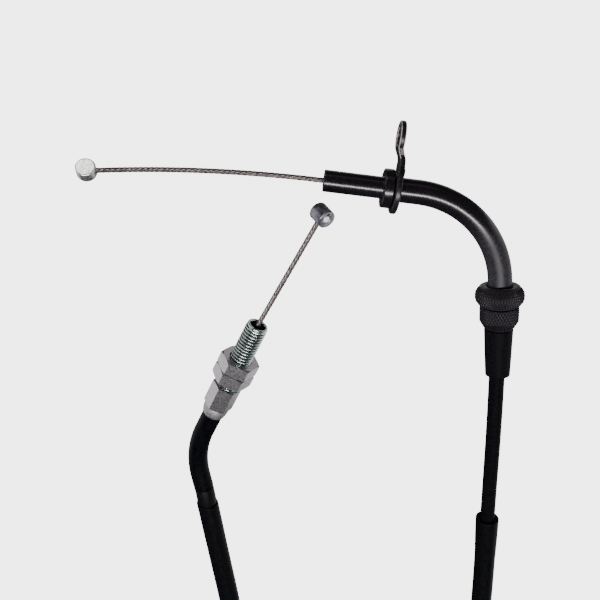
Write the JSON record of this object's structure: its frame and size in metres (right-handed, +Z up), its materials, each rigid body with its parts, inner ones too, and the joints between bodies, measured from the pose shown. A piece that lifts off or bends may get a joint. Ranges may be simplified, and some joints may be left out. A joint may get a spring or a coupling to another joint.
{
  "type": "motorcycle throttle cable",
  "caption": "Throttle cable with an elbow guide pipe, knurled adjuster, rubber boot, sleeved and coiled cable, threaded stud with lock nuts, and a nipple on each end of the inner wire.",
  "frame": {"origin": "centre of the guide pipe's mouth, where the inner wire leaves it", "axes": "+X along the straight guide pipe into the part, +Z up from the surface that the cable lies on"},
  "size_m": [0.1841, 0.3116, 0.0267],
  "materials": {
    "black_paint": "gloss",
    "black_knurl": "satin",
    "liner_plastic": "satin",
    "wire_steel": "twisted strands",
    "nipple_bright": "as cast",
    "nipple_dark": "dull",
    "zinc_plate": "zinc plated",
    "boot_rubber": "matt",
    "jacket_vinyl": "satin",
    "sleeve_vinyl": "semi-gloss",
    "tie_plastic": "satin",
    "bush_plastic": "matt"
  },
  "bodies": {
    "cable": {"guide_pipe": "black_paint", "pipe_collar": "black_paint", "carb_pipe": "black_paint", "guide_liner": "liner_plastic", "carb_pipe_liner": "liner_plastic", "housing_liner": "liner_plastic", "inner_wire_elbow": "wire_steel", "inner_wire_housing": "wire_steel", "inner_wire_carb_pipe": "wire_steel", "housing_conduit": "wire_steel", "housing_ferrule": "zinc_plate", "carb_adjuster": "zinc_plate", "housing_jacket": "jacket_vinyl", "carb_housing_stub": "jacket_vinyl", "sleeve_throttle_side": "sleeve_vinyl", "sleeve_carb_side": "sleeve_vinyl", "cable_coil": "sleeve_vinyl", "coil_tie_a": "tie_plastic", "coil_tie_b": "tie_plastic", "pipe_end_bush": "bush_plastic"},
    "throttle_wire": {"throttle_inner_wire": "wire_steel", "throttle_nipple": "nipple_bright"},
    "carb_wire": {"carb_inner_wire": "wire_steel", "carb_nipple": "nipple_dark"},
    "retainer": {"retainer_plate": "black_paint"},
    "lock_ring": {"lock_ring": "black_knurl"},
    "adjuster": {"adjuster_barrel": "black_knurl"},
    "boot": {"rubber_boot": "boot_rubber"},
    "upper_nut": {"upper_lock_nut": "zinc_plate"},
    "lower_nut": {"lower_lock_nut": "zinc_plate"}
  },
  "joints": [
    {"name": "throttle_wire_slide", "type": "slide", "parent": "cable", "child": "throttle_wire", "axis": [-1, 0, 0], "range_m": [-0.003, 0.024]},
    {"name": "carb_wire_slide", "type": "slide", "parent": "cable", "child": "carb_wire", "axis": [0.3551, 0.9202, 0.165], "range_m": [-0.024, 0.003]},
    {"name": "retainer_turn", "type": "hinge", "parent": "cable", "child": "retainer", "pos_m": [0.0242, 0, 0], "axis": [1, 0, 0], "continuous": true},
    {"name": "lock_ring_turn", "type": "hinge", "parent": "cable", "child": "lock_ring", "pos_m": [0.06732, -0.03266, 0], "axis": [0.1908, -0.9816, 0], "continuous": true},
    {"name": "adjuster_turn", "type": "hinge", "parent": "cable", "child": "adjuster", "pos_m": [0.06884, -0.04051, 0], "axis": [0.1908, -0.9816, 0], "continuous": true},
    {"name": "boot_slide", "type": "slide", "parent": "cable", "child": "boot", "axis": [0.1908, -0.9816, 0], "range_m": [0, 0.005]},
    {"name": "upper_nut_turn", "type": "hinge", "parent": "cable", "child": "upper_nut", "pos_m": [-0.02193, -0.0686, 0.00309], "axis": [0.3109, 0.9345, 0.1736], "continuous": true},
    {"name": "lower_nut_turn", "type": "hinge", "parent": "cable", "child": "lower_nut", "pos_m": [-0.02351, -0.07337, 0.0022], "axis": [0.3109, 0.9345, 0.1736], "continuous": true}
  ],
  "couplings": [
    {"joint": "carb_wire_slide", "follows": "throttle_wire_slide", "ratio": -1}
  ]
}
